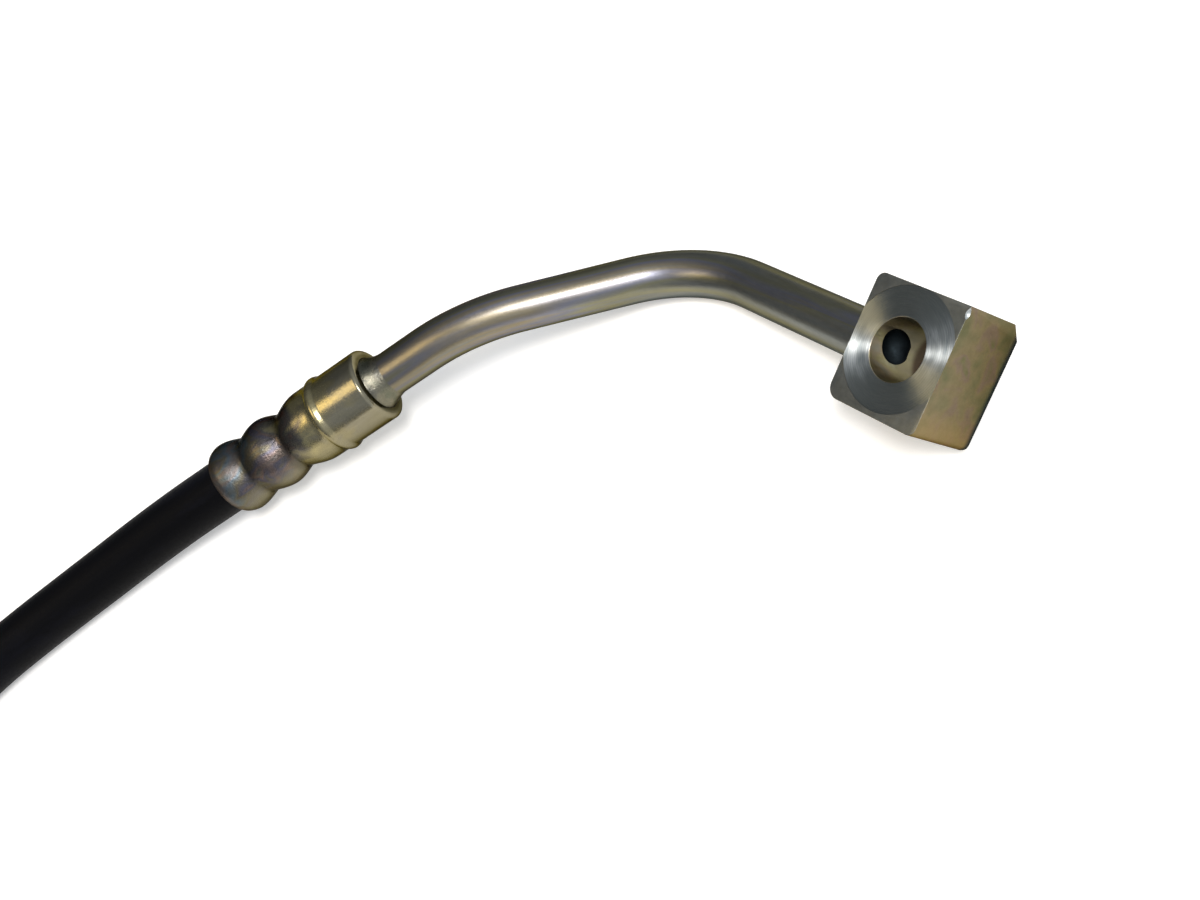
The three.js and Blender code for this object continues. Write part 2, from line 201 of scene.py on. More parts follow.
def platedMaterial(name, look):
    # zinc-plated steel under a thin chromate film: a dull metal gloss, with grey, straw and
    # bluish patches that run the way the steel was drawn, and fine pits, and tints by an axis
    # or by radius, some of them real and some painted shade or painted reflection
    material, tree = newMaterial(name)
    place = addNode(tree, "ShaderNodeAttribute", attribute_name="place").outputs["Vector"]
    parts = addNode(tree, "ShaderNodeSeparateXYZ", {0: place})
    along = parts.outputs["Z"]
    flat = addNode(tree, "ShaderNodeVectorMath", {0: place, 1: (1, 1, 0)}, operation="MULTIPLY")
    radius = addNode(tree, "ShaderNodeVectorMath", {0: flat}, operation="LENGTH")
    patches = addNode(tree, "ShaderNodeMapping", {
        "Vector": place, "Scale": (1, 1, look["stretch"])})
    drift = addNode(tree, "ShaderNodeTexNoise", {
        "Vector": patches, "Scale": 1 / (look["patch"] * mm), "Detail": 2, "Distortion": 0.4})
    drift = addNode(tree, "ShaderNodeMapRange", {
        0: drift, 3: 0.5 - look["swing"] / 2, 4: 0.5 + look["swing"] / 2})
    drift = addNode(tree, "ShaderNodeMath", {
        0: along, 1: look["lengthwise"] / mm, 2: drift}, operation="MULTIPLY_ADD")
    film = addNode(tree, "ShaderNodeValToRGB", {0: drift}, stops=look["film"])
    drawn = addNode(tree, "ShaderNodeMapping", {
        "Vector": place, "Scale": (1, 1, look["draw"])})
    smear = addNode(tree, "ShaderNodeTexNoise", {
        "Vector": drawn, "Scale": 1 / (look["streak"] * mm), "Detail": 4, "Roughness": 0.6})
    smear = addNode(tree, "ShaderNodeValToRGB", {0: smear},
                    stops=[(0.3, look["smear"]), (0.65, 1.0)])
    colour = addNode(tree, "ShaderNodeMix", {0: 1.0, 6: film, 7: smear},
                     data_type="RGBA", blend_type="MULTIPLY")
    # tints by an axis or by radius: real stains, and painted shade and painted reflections
    for side, start, end, tone, share in look["stainsAndPaintedLight"]:
        near = addNode(tree, "ShaderNodeMapRange", {
            0: radius if side == "radius" else parts.outputs[side],
            1: start * mm, 2: end * mm, 4: share},
            interpolation_type="SMOOTHSTEP")
        colour = addNode(tree, "ShaderNodeMix", {0: near, 6: colour, 7: linear(tone)},
                         data_type="RGBA")
    grain = addNode(tree, "ShaderNodeTexNoise", {
        "Vector": place, "Scale": 1 / (look["grain"] * mm), "Detail": 4, "Roughness": 0.65})
    gloss = addNode(tree, "ShaderNodeMapRange", {
        0: grain, 1: noiseLow, 2: noiseHigh,
        3: look["roughness"] - 0.05, 4: look["roughness"] + 0.07})
    gloss = addNode(tree, "ShaderNodeMath", {
        0: along, 1: look["glossAlong"] / mm, 2: gloss},
        operation="MULTIPLY_ADD", use_clamp=True)
    thin = addNode(tree, "ShaderNodeMapping", {
        "Vector": place, "Scale": (1, 1, look["draw"] / 2)})
    lines = addNode(tree, "ShaderNodeTexNoise", {
        "Vector": thin, "Scale": 1 / (look["line"] * mm), "Detail": 3})
    pits = addNode(tree, "ShaderNodeMapRange", {
        0: along, 1: look["smoothFrom"] * mm, 2: (look["smoothFrom"] + look["fade"]) * mm,
        3: look["pits"], 4: look["pits"] * 0.2})
    fine = addNode(tree, "ShaderNodeMath", {0: grain, 1: pits, 2: lines},
                   operation="MULTIPLY_ADD")
    longer = addNode(tree, "ShaderNodeMapping", {"Vector": place, "Scale": (1, 1, 0.5)})
    uneven = addNode(tree, "ShaderNodeTexNoise", {
        "Vector": longer, "Scale": 1 / (look["wave"] * mm), "Detail": 2})
    height = addNode(tree, "ShaderNodeMath", {
        0: uneven, 1: look["uneven"] / look["depth"], 2: fine}, operation="MULTIPLY_ADD")
    bump = addNode(tree, "ShaderNodeBump", {
        "Height": height, "Distance": look["depth"] * mm, "Strength": 0.6})
    shader = addNode(tree, "ShaderNodeBsdfPrincipled", {
        "Base Color": colour, "Roughness": gloss, "Metallic": 1.0,
        "Specular Tint": linear(look["edge"]), "Normal": bump})
    addNode(tree, "ShaderNodeOutputMaterial", {"Surface": shader})
    return material


def turnedMaterial(name, look, centre, axis):
    # steel faced with a turning cutter and plated: fine grooves round the hole, which throw
    # the light out into two bright wedges and leave the face dark above and below; painted
    # shade adds to the dark above and below, and a painted highlight brightens the side next to
    # the pipe
    material, tree = newMaterial(name)
    place = addNode(tree, "ShaderNodeAttribute", attribute_name="place").outputs["Vector"]
    parts = addNode(tree, "ShaderNodeSeparateXYZ", {0: place})
    flat = addNode(tree, "ShaderNodeVectorMath", {0: place, 1: (1, 1, 0)}, operation="MULTIPLY")
    radius = addNode(tree, "ShaderNodeVectorMath", {0: flat}, operation="LENGTH")
    wobble = addNode(tree, "ShaderNodeTexNoise", {
        "Vector": place, "Scale": 1 / (look["strayOver"] * mm), "Detail": 2})
    strayed = addNode(tree, "ShaderNodeMath", {0: wobble, 1: look["stray"] * mm, 2: radius},
                      operation="MULTIPLY_ADD")
    turns = addNode(tree, "ShaderNodeMath", {0: strayed, 1: math.tau / (look["pitch"] * mm)},
                    operation="MULTIPLY")
    wave = addNode(tree, "ShaderNodeMath", {0: turns}, operation="SINE")
    across = addNode(tree, "ShaderNodeCombineXYZ", {0: strayed})
    turned = addNode(tree, "ShaderNodeVectorMath", {0: flat}, operation="NORMALIZE")
    ring = addNode(tree, "ShaderNodeCombineXYZ", {"Z": strayed})
    length = look["arcLength"] * mm
    arc = addNode(tree, "ShaderNodeVectorMath", {
        0: turned, 1: (length, length, 0), 2: ring}, operation="MULTIPLY_ADD")
    broad = addNode(tree, "ShaderNodeTexNoise", {
        "Vector": arc, "Scale": 1 / (look["arcWidth"] * mm), "Detail": 3, "Roughness": 0.6})
    film = addNode(tree, "ShaderNodeValToRGB", {0: broad}, stops=look["film"])
    scratch = addNode(tree, "ShaderNodeTexNoise", {
        "Vector": across, "Scale": 1 / (look["scratch"] * mm), "Detail": 2, "Roughness": 0.6})
    struck = addNode(tree, "ShaderNodeMath", {0: wave, 1: 0.12, 2: scratch},
                     operation="MULTIPLY_ADD")
    lines = addNode(tree, "ShaderNodeValToRGB", {0: struck}, stops=look["lines"])
    inner, outer = metres(look["zoneSpan"])
    reach = addNode(tree, "ShaderNodeMapRange", {0: strayed, 1: inner, 2: outer})
    zones = addNode(tree, "ShaderNodeValToRGB", {0: reach}, stops=look["zones"])
    colour = addNode(tree, "ShaderNodeMix", {0: 1.0, 6: film, 7: lines},
                     data_type="RGBA", blend_type="MULTIPLY")
    colour = addNode(tree, "ShaderNodeMix", {0: 1.0, 6: colour, 7: zones},
                     data_type="RGBA", blend_type="MULTIPLY")
    # painted highlight: the side next to the pipe is painted brighter, which strengthens the
    # bright wedge there
    start, end = metres(look["paintedHighlightSpan"])
    paintedHighlight = addNode(tree, "ShaderNodeMapRange", {
        0: parts.outputs["X"], 1: start, 2: end, 3: 1.0, 4: look["paintedHighlight"]})
    colour = addNode(tree, "ShaderNodeMix", {0: 1.0, 6: colour, 7: paintedHighlight},
                     data_type="RGBA", blend_type="MULTIPLY")
    # painted shade: the face is painted darker in two arcs, which lie across from the bright
    # wedges
    cloudy = addNode(tree, "ShaderNodeTexNoise", {
        "Vector": place, "Scale": 1 / (look["cloud"] * mm), "Detail": 3, "Distortion": 0.3})
    away = addNode(tree, "ShaderNodeVectorMath", {0: place, 1: look["paintedShadeToward"]},
                   operation="DOT_PRODUCT")
    away = addNode(tree, "ShaderNodeMath", {0: away}, operation="ABSOLUTE")
    away = addNode(tree, "ShaderNodeMath", {0: cloudy, 1: look["cloudReach"] * mm, 2: away},
                   operation="MULTIPLY_ADD")
    start, end = metres(look["paintedShadeSpan"])
    paintedShade = addNode(tree, "ShaderNodeMapRange", {
        0: away, 1: start, 2: end, 4: look["paintedShadeShare"]}, interpolation_type="SMOOTHSTEP")
    colour = addNode(tree, "ShaderNodeMix", {0: paintedShade, 6: colour, 7: linear(look["paintedShade"])},
                     data_type="RGBA")
    gloss = addNode(tree, "ShaderNodeMapRange", {
        0: broad, 1: noiseLow, 2: noiseHigh,
        3: look["roughness"] - 0.04, 4: look["roughness"] + 0.05})
    # light spreads across the grooves, which is outward from the hole's axis
    point = addNode(tree, "ShaderNodeTexCoord").outputs["Object"]
    spoke = addNode(tree, "ShaderNodeVectorMath", {0: point, 1: tuple(centre)},
                    operation="SUBTRACT")
    rise = addNode(tree, "ShaderNodeVectorMath", {0: spoke, 1: tuple(axis)},
                   operation="PROJECT")
    outward = addNode(tree, "ShaderNodeVectorMath", {0: spoke, 1: rise}, operation="SUBTRACT")
    scores = addNode(tree, "ShaderNodeTexNoise", {
        "Vector": across, "Scale": 1 / (look["score"] * mm), "Detail": 2})
    height = addNode(tree, "ShaderNodeMath", {0: wave, 1: 0.2, 2: scores},
                     operation="MULTIPLY_ADD")
    bump = addNode(tree, "ShaderNodeBump", {
        "Height": height, "Distance": look["depth"] * mm, "Strength": 1.0})
    shader = addNode(tree, "ShaderNodeBsdfPrincipled", {
        "Base Color": colour, "Roughness": gloss, "Metallic": 1.0,
        "Anisotropic": look["anisotropy"], "Specular Tint": linear(look["edge"]),
        "Tangent": outward, "Normal": bump})
    addNode(tree, "ShaderNodeOutputMaterial", {"Surface": shader})
    return material


# film is the drift of colour and swing how far it strays; lengthwise and glossAlong change it
# and the gloss for each millimetre along the piece; smoothFrom and fade are where its pits
# start to fade and over what length; draw stretches its streaks and lines, and stretch its
# patches; each tint, be it a real stain, painted shade or painted reflection, has an axis or
# the radius, the place where it starts, the place where it is full, its colour and its share;
# patch, streak, grain, line and wave are how wide each pattern is, and depth and uneven how
# deep, in millimetres
plain = {"lengthwise": 0, "glossAlong": 0, "uneven": 0.03, "smoothFrom": 500, "fade": 6,
         "draw": 1.0, "stretch": 1.0, "smear": 0.8, "swing": 1.0, "streak": 1.2, "grain": 0.45,
         "line": 0.5, "wave": 5, "stainsAndPaintedLight": []}
plating = {
    "pipe": {
        **plain, "edge": "#707070", "patch": 3.2, "stretch": 0.05, "roughness": 0.33,
        "film": [(0.22, "#7a7f80"), (0.34, "#7f7f76"), (0.44, "#838067"), (0.52, "#7b7b82"),
                 (0.61, "#8a8069"), (0.74, "#787d7e")],
        "pits": 0.5, "depth": 0.008, "lengthwise": -0.001, "uneven": 0.12, "draw": 0.1,
        # darker towards the ferrule and a little lighter towards the block
        "stainsAndPaintedLight": [("Z", 34, 6, "#66614f", 0.45), ("Z", 60, 84, "#94948a", 0.15)],
    },
    "ferrule": {
        **plain, "edge": "#70706c", "patch": 4, "stretch": 0.6, "roughness": 0.38,
        "film": [(0.42, "#566062"), (0.48, "#5c6668"), (0.53, "#68605a"), (0.565, "#586266"),
                 (0.61, "#625c4c"), (0.64, "#54525a"), (0.665, "#6a5c54"), (0.7, "#605d58"),
                 (0.76, "#9c926c"), (0.82, "#918868"), (0.88, "#88826e"), (0.95, "#868068")],
        "pits": 9.0, "depth": 0.014, "lengthwise": 0.011, "glossAlong": -0.005, "swing": 0.36,
        "uneven": 0.1, "smoothFrom": 17, "draw": 0.15,
        # painted reflection: the lower side is tinted light olive, as the floor's reflection
        # is, and a coppery band at the mouth stands for the warm lamp's reflection
        "stainsAndPaintedLight": [("X", 2.2, -1.5, "#7a7561", 0.8), ("Z", 4.6, 2.8, "#85766a", 0.45),
                   # painted shade: darker inwards of a radius, in the valleys and on the end
                   # face round the fillet
                   ("radius", 6.1, 5.5, "#3a382e", 0.45)],
    },
    "braze": {
        **plain, "edge": "#70706c", "patch": 3, "roughness": 0.3, "pits": 5.0,
        "film": [(0.3, "#66645a"), (0.5, "#767262"), (0.7, "#666758")], "depth": 0.03,
        # painted shade at the fillet's foot, where it meets the face
        "stainsAndPaintedLight": [("radius", 4.85, 5.15, "#3a372c", 0.3)],
    },
    "fitting": {
        **plain, "edge": "#70706c", "patch": 5, "stretch": 0.5, "roughness": 0.3,
        "film": [(0.3, "#787c7c"), (0.45, "#7f7d6c"), (0.58, "#8c8464"), (0.7, "#7c7a7c")],
        "pits": 1.0, "depth": 0.01, "draw": 0.3,
    },
    "block": {
        **plain, "edge": "#706c60", "patch": 4, "roughness": 0.42, "pits": 1.0,
        "film": [(0.3, "#68674f"), (0.42, "#736d55"), (0.52, "#7a7058"), (0.62, "#786b5d"),
                 (0.72, "#6d6a51")], "depth": 0.008, "smear": 0.88,
        # lighter and more orange towards the lower end; painted shade along the back edges
        "stainsAndPaintedLight": [("Y", -4.5, -9.0, "#8f7a52", 0.45), ("Z", -4.8, -6.1, "#343c40", 0.9)],
    },
    "front": {
        **plain, "edge": "#707070", "patch": 4, "roughness": 0.38, "pits": 1.0,
        "film": [(0.3, "#8e9088"), (0.5, "#94948a"), (0.7, "#8c8f8a")], "depth": 0.008,
    },
    "bore": {
        **plain, "edge": "#8a8672", "patch": 3, "stretch": 0.5, "roughness": 0.36,
        "film": [(0.3, "#b0ae94"), (0.42, "#b8b08a"), (0.54, "#b8ac94"), (0.68, "#b2b2a4")],
        "pits": 1.0, "depth": 0.012, "draw": 0.4,
        # painted shade: darker deeper in the hole and towards its upper side, reddish dark near
        # the back
        "stainsAndPaintedLight": [("Z", 3, -0.5, "#6e6a58", 0.75), ("Y", -1, 4, "#6a6450", 0.4),
                   ("Z", -2.8, -4.5, "#3a2b28", 0.8)],
    },
    # painted shade: near-black steel for the inside of the passage
    "dark": {
        **plain, "edge": "#202424", "patch": 3, "roughness": 0.5, "pits": 1.0,
        "film": [(0.3, "#14181a"), (0.6, "#1e2426")], "depth": 0.01,
    },
    "knock": {
        **plain, "edge": "#909090", "patch": 2, "roughness": 0.4, "pits": 1.0,
        "film": [(0.3, "#b4b8b4"), (0.7, "#c6c8c4")], "depth": 0.01,
    },
}
# the cutter's real feed is about 0.1 mm; the pitch is coarser, as it needs to be to show
turning = {
    "film": [(0.3, "#959c9a"), (0.48, "#b2b5ae"), (0.66, "#ced0ca")],
    "edge": "#9a9a9a",
    "roughness": 0.37,
    "anisotropy": 1.0,
    "pitch": 0.34,
    "depth": 0.018,
    "stray": 0.5,  # how far a groove strays from its circle
    "strayOver": 5,
    "arcWidth": 1.3,
    "arcLength": 1.6,
    "scratch": 0.3,
    "score": 0.35,
    "lines": [(0.28, 0.76), (0.72, 1.0)],
    "zones": [(0.0, 0.8), (0.35, 0.92), (0.7, 1.0), (1.0, 0.86)],  # from the hole outwards
    "zoneSpan": (4.5, 9.5),
    # painted highlight: the side next to the pipe is painted brighter
    "paintedHighlight": 1.8,
    "paintedHighlightSpan": (-3, -8),
    # painted shade: darker in two arcs above and below the hole
    "paintedShade": "#878a82",
    "paintedShadeToward": (-0.39, 0.92, 0),
    "paintedShadeSpan": (2.4, 6.5),
    "paintedShadeShare": 0.85,
    "cloud": 4,
    "cloudReach": 3,
}
extrudedRubber = rubberMaterial(rubberLook)
# drawn tube: film in long streaks, and a clear lengthwise highlight
drawnPlate = platedMaterial("drawnPlate", plating["pipe"])
# shell pressed by dies: pitted and bluish grey at the mouth, smooth and straw at the barrel;
# a painted reflection on its lower side and at the mouth, painted shade in its valleys and
# round the fillet
crimpedPlate = platedMaterial("crimpedPlate", plating["ferrule"])
# fitting turned from bar: even and rather bright
barPlate = platedMaterial("barPlate", plating["fitting"])
# sawn and tumbled sides of the block: the dullest, with the strongest straw film, and
# painted shade along the back edges
sawnPlate = platedMaterial("sawnPlate", plating["block"])
# milled corners of the block's faces: plain grey
milledPlate = platedMaterial("milledPlate", plating["front"])
# drilled wall of the bolt hole: light straw near the face, with painted shade deeper in the
# hole and towards its upper side
drilledPlate = platedMaterial("drilledPlate", plating["bore"])
# painted shade: the inside of the drilled passage is painted near black, as little light gets
# in there
paintedShadeSteel = platedMaterial("paintedShadeSteel", plating["dark"])
# a fresh knock that shows steel without its film
bareSteel = platedMaterial("bareSteel", plating["knock"])
# brazing filler under the plating: lumpy, with a sparkle, and painted shade at its foot
brazeMetal = platedMaterial("brazeMetal", plating["braze"])
print("materials made")


# meshes

def soften(mesh):
    # smooth shading, with sharp edges kept where two faces turn by more than the angle
    mesh.shade_smooth()
    mesh.set_sharp_from_angle(angle=math.radians(38))


def finishMesh(mesh, matrix, materials, origin=(0, 0, 0)):
    # keeps the local coordinates in an attribute, then moves the points to where they lie
    local = np.empty(len(mesh.vertices) * 3)
    mesh.vertices.foreach_get("co", local)
    place = mesh.attributes.new("place", "FLOAT_VECTOR", "POINT")
    place.data.foreach_set("vector", (local.reshape(-1, 3) - np.array(origin)).ravel())
    mesh.transform(matrix)
    for material in materials:
        mesh.materials.append(material)
    soften(mesh)
    mesh.update()


def evaluatedMesh(piece):
    # a plain mesh of the piece as its modifiers leave it
    bpy.context.view_layer.update()
    depsgraph = bpy.context.evaluated_depsgraph_get()
    return bpy.data.meshes.new_from_object(piece.evaluated_get(depsgraph))


def revolved(name, profile, segments=96, closed=True, warp=None):
    # (radius, along) points in mm turned about +Z; warp may change a radius by its angle
    bm = bmesh.new()
    loops = []
    for radius, along in profile:
        if radius == 0:
            loops.append([bm.verts.new((0, 0, along * mm))])
            continue
        ring = []
        for i in range(segments):
            angle = 2 * math.pi * i / segments
            r = (warp(radius, along, angle) if warp else radius) * mm
            ring.append(bm.verts.new((r * math.cos(angle), r * math.sin(angle), along * mm)))
        loops.append(ring)
    following = loops[1:] + (loops[:1] if closed else [])
    for a, b in zip(loops, following):
        if len(a) == 1 and len(b) == 1:
            continue
        for i in range(segments):
            j = (i + 1) % segments
            corners = [a[i % len(a)], a[j % len(a)], b[j % len(b)], b[i % len(b)]]
            unique = list(dict.fromkeys(corners))
            if len(unique) > 2:
                bm.faces.new(unique)
    bmesh.ops.recalc_face_normals(bm, faces=bm.faces)
    mesh = bpy.data.meshes.new(name)
    bm.to_mesh(mesh)
    bm.free()
    return mesh


def carve(piece, cutter, operation="DIFFERENCE"):
    modifier = piece.modifiers.new("carve", "BOOLEAN")
    modifier.operation, modifier.object, modifier.solver = operation, cutter, "EXACT"
    carved = evaluatedMesh(piece)
    piece.modifiers.remove(modifier)
    bm = bmesh.new()
    bm.from_mesh(carved)
    bmesh.ops.remove_doubles(bm, verts=bm.verts, dist=tiny)
    bmesh.ops.dissolve_degenerate(bm, edges=bm.edges, dist=tiny)
    bm.to_mesh(carved)
    bm.free()
    piece.data = carved
    bpy.data.objects.remove(cutter)


def cutRound(piece, profile, moves, segments=160):
    # cuts away what a turned profile fills, once it is moved to where it cuts
    tool = revolved("tool", profile, segments, closed=False)
    for move in moves:
        tool.transform(move)
    carve(piece, addObject("tool", tool))


def dress(piece, node):
    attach(piece, "root")
    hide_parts(node)


# pieces that follow a path: the hose and the pipe

def sweepTree():
    tree = bpy.data.node_groups.new("sweepAlongPath", "GeometryNodeTree")
    socket = tree.interface.new_socket
    socket("Geometry", in_out="INPUT", socket_type="NodeSocketGeometry")
    for name, kind in (("Radius", "Float"), ("Step", "Float"), ("Sides", "Int"),
                       ("Material", "Material")):
        socket(name, in_out="INPUT", socket_type="NodeSocket" + kind)
    socket("Geometry", in_out="OUTPUT", socket_type="NodeSocketGeometry")
    given = addNode(tree, "NodeGroupInput")
    circle = addNode(tree, "GeometryNodeCurvePrimitiveCircle", {
        "Radius": given.outputs["Radius"], "Resolution": given.outputs["Sides"]})
    path = addNode(tree, "GeometryNodeResampleCurve", {
        "Curve": given.outputs["Geometry"], "Length": given.outputs["Step"]}, mode="LENGTH")
    across = addNode(tree, "GeometryNodeCaptureAttribute", {0: circle.outputs[0]})
    across.capture_items.new("VECTOR", "across")
    tree.links.new(addNode(tree, "GeometryNodeInputPosition").outputs[0], across.inputs[1])
    along = addNode(tree, "GeometryNodeCaptureAttribute", {0: path.outputs[0]})
    along.capture_items.new("FLOAT", "along")
    tree.links.new(addNode(tree, "GeometryNodeSplineParameter").outputs["Length"],
                   along.inputs[1])
    tube = addNode(tree, "GeometryNodeCurveToMesh", {
        "Curve": along.outputs[0], "Profile Curve": across.outputs[0], "Fill Caps": True})
    lengthwise = addNode(tree, "ShaderNodeCombineXYZ", {"Z": along.outputs[1]})
    place = addNode(tree, "ShaderNodeVectorMath",
                    {0: across.outputs[1], 1: lengthwise.outputs[0]}, operation="ADD")
    stored = addNode(tree, "GeometryNodeStoreNamedAttribute", data_type="FLOAT_VECTOR")
    tree.links.new(tube.outputs[0], stored.inputs["Geometry"])
    stored.inputs["Name"].default_value = "place"
    tree.links.new(place.outputs[0], stored.inputs["Value"])
    real = addNode(tree, "GeometryNodeRealizeInstances", {0: stored.outputs[0]})
    coated = addNode(tree, "GeometryNodeSetMaterial", {
        "Geometry": real.outputs[0], "Material": given.outputs["Material"]})
    result = addNode(tree, "NodeGroupOutput")
    tree.links.new(coated.outputs[0], result.inputs[0])
    return tree


sweepNodes = sweepTree()


def sweptPiece(name, points, inputs):
    data = bpy.data.curves.new(name + "Path", "CURVE")
    data.dimensions = "3D"
    spline = data.splines.new("POLY")
    spline.points.add(len(points) - 1)
    for point, spot in zip(points, spline.points):
        spot.co = (*(point * mm), 1)
    source = addObject(name + "Path", data)
    modifier = source.modifiers.new("sweep", "NODES")
    modifier.node_group = sweepNodes
    for item in sweepNodes.interface.items_tree:
        if item.in_out == "INPUT" and item.name in inputs:
            modifier[item.identifier] = inputs[item.name]
    mesh = evaluatedMesh(source)
    bpy.data.objects.remove(source)
    mesh.name = name
    soften(mesh)
    return addObject(name, mesh)


# the free hose, from the first ferrule's mouth to the second's
hose = {
    "diameter": 10.5,
    "intoFerrule": 3.5,
    "sides": 64,
    "step": 1.5,
    "points": [
        (-68, 22.4, 8.2), (-77.9, 21.8, 7.2), (-87.9, 20.7, 6.3), (-97.8, 19.1, 5.6),
        (-107.7, 17.1, 5.3), (-117.6, 14.7, 5.3), (-127.5, 11.9, 5.3), (-137, 8.2, 5.3),
        (-146.5, 3.3, 5.3), (-155.7, -3.3, 5.3), (-163.9, -11.5, 5.3), (-170.5, -21.1, 5.3),
        (-174.9, -31.7, 5.3), (-176.8, -43.1, 5.3), (-176, -54.6, 5.3), (-172.5, -65.5, 5.3),
        (-166.5, -75.3, 5.3), (-158.3, -83.3, 5.3), (-148.5, -89.3, 5.3), (-137.7, -93.1, 5.5),
        (-126.5, -95, 6), (-114.5, -95.6, 6.7), (-102.5, -95.7, 7.3), (-92.5, -95.7, 7.5),
    ],
}
rearMouth = Vector(hose["points"][-1])
rearAxis = Vector((1, 0, 0))


def smoothPath(points, perSpan=12):
    # a centripetal spline through the points
    points = [Vector(p) for p in points]
    padded = [points[0] * 2 - points[1], *points, points[-1] * 2 - points[-2]]
    result = []
    for a, b, c, d in zip(padded, padded[1:], padded[2:], padded[3:]):
        knots = [0]
        for p, q in ((a, b), (b, c), (c, d)):
            knots.append(knots[-1] + math.sqrt((q - p).length))

        def blend(p, q, first, last, t):
            return p.lerp(q, (t - knots[first]) / (knots[last] - knots[first]))
        for i in range(perSpan):
            t = knots[1] + (knots[2] - knots[1]) * i / perSpan
            ab, bc, cd = blend(a, b, 0, 1, t), blend(b, c, 1, 2, t), blend(c, d, 2, 3, t)
            abc, bcd = blend(ab, bc, 0, 2, t), blend(bc, cd, 1, 3, t)
            result.append(blend(abc, bcd, 1, 2, t))
    return [*result, points[-1]]


def makeHose(sizes):
    path = smoothPath(sizes["points"])
    # both ends run a little way into their ferrules
    inwards = sizes["intoFerrule"]
    path = [path[0] + ferruleAxis * inwards, *path, path[-1] + rearAxis * inwards]
    piece = sweptPiece("rubberHose", path, {
        "Radius": sizes["diameter"] / 2 * mm, "Step": sizes["step"] * mm,
        "Sides": sizes["sides"], "Material": extrudedRubber})
    dress(piece, "hose")
    length = sum((b - a).length for a, b in zip(path[1:-1], path[2:-1]))
    print(f"hose made, {length:.1f} mm free")
    return piece, path, length


rubberHose, hosePath, hoseLength = makeHose(hose)

pipe = {
    "diameter": 8,
    "bendNear": 44,
    "bendFar": 22,
    "start": 31,
    "intoBlock": 0.5,
    "sides": 64,
    "step": 0.8,
}


def bentPath(corners, radii, arcPoints=40):
    path = [corners[0]]
    for before, corner, after, radius in zip(corners, corners[1:], corners[2:], radii):
        arrive, leave = (corner - before).normalized(), (after - corner).normalized()
        angle = arrive.angle(leave)
        start = corner - arrive * radius * math.tan(angle / 2)
        inward = (leave - arrive * leave.dot(arrive)).normalized()
        for i in range(arcPoints + 1):
            turn = angle * i / arcPoints
            path.append(start + arrive * radius * math.sin(turn)
                        + inward * radius * (1 - math.cos(turn)))
    return [*path, corners[-1]]


def makePipe(sizes):
    start = layout["ferruleMouth"] + ferruleAxis * sizes["start"]
    end = layout["blockEntry"] + blockAxis * sizes["intoBlock"]
    path = bentPath([start, layout["cornerNear"], layout["cornerFar"], end],
                    [sizes["bendNear"], sizes["bendFar"]])
    piece = sweptPiece("bentPipe", path, {
        "Radius": sizes["diameter"] / 2 * mm, "Step": sizes["step"] * mm,
        "Sides": sizes["sides"], "Material": drawnPlate})
    dress(piece, "pipe")
    print("pipe made")


makePipe(pipe)

# the crimped shells

crimp = {
    "length": 24,
    "wall": 1.1,
    "mouth": 6.4,
    "mouthAt": 2.5,
    "lip": [(-0.35, 0), (-0.1, 0.08), (0, 0.3)],  # out and along from the mouth's edge
    "rings": [(4.4, 6.9), (13.5, 6.75), (23.4, 6.88)],  # place along the shell and radius
    "valleys": [(9, 5.75), (17.9, 5.5)],
    "slopeSteps": 9,
    "dies": 8,
    "dieDepth": 0.05,
    "dieReach": 2.2,
    "heavyDepth": 0.22,
    "pressedFrom": 5,  # nothing inside this radius is marked by the dies
}
barrel = {
    "radius": 6.92,
    "length": 14,
    "bore": 4.0,
    "endRound": 0.8,
    "beadAt": 3.55,
    "beadOutline": [(-0.03, -2), (-0.02, -1.1), (0.1, -0.8), (0.38, -0.45), (0.48, -0.1),
                    (0.45, 0.25), (0.32, 0.6), (0.06, 0.95), (0, 1.3)],  # out and along
    "heavySide": 0.3,
    "fillet": (1.15, 3.2),
}
braze = {
    "below": 0.6,
    "overlap": 0.05,
    "hollow": 0.4,  # share of a hollow quarter round, the rest being a plain cone
    "lump": 0.4,
}
quarterSteps = 8  # faces round a quarter circle


def crimpOutside(sizes):
    start, steps = sizes["mouthAt"], sizes["slopeSteps"]
    lows = [(start, sizes["mouth"]), *sizes["valleys"]]

    def slope(low, ring, counts):
        # steep at the low and round at the ring's crown
        points = []
        for k in counts:
            share = k / steps
            ease = math.sin(share ** 1.15 * math.pi / 2)
            points.append((low[1] + (ring[1] - low[1]) * ease,
                           low[0] + (ring[0] - low[0]) * share))
        return points
    outline = [(sizes["mouth"] + out, start + along) for out, along in sizes["lip"]]
    for i, ring in enumerate(sizes["rings"]):
        outline += slope(lows[i], ring, range(2 if i == 0 else 1, steps + 1))
        if i < len(sizes["valleys"]):
            outline += slope(sizes["valleys"][i], ring, range(steps - 1, -1, -1))
    return outline


def dieMarks(sizes, heavySide):
    # the dies leave faint flats round the valleys, pressed deeper on one side
    def warp(radius, along, angle):
        if radius < sizes["pressedFrom"] or along > sizes["length"]:
            return radius
        depth = max(math.exp(-((along - at) / sizes["dieReach"]) ** 2)
                    for at, _ in sizes["valleys"])
        flats = sizes["dieDepth"] * abs(math.cos(sizes["dies"] / 2 * angle))
        return radius - depth * (flats + sizes["heavyDepth"] * math.cos(angle - heavySide))
    return warp


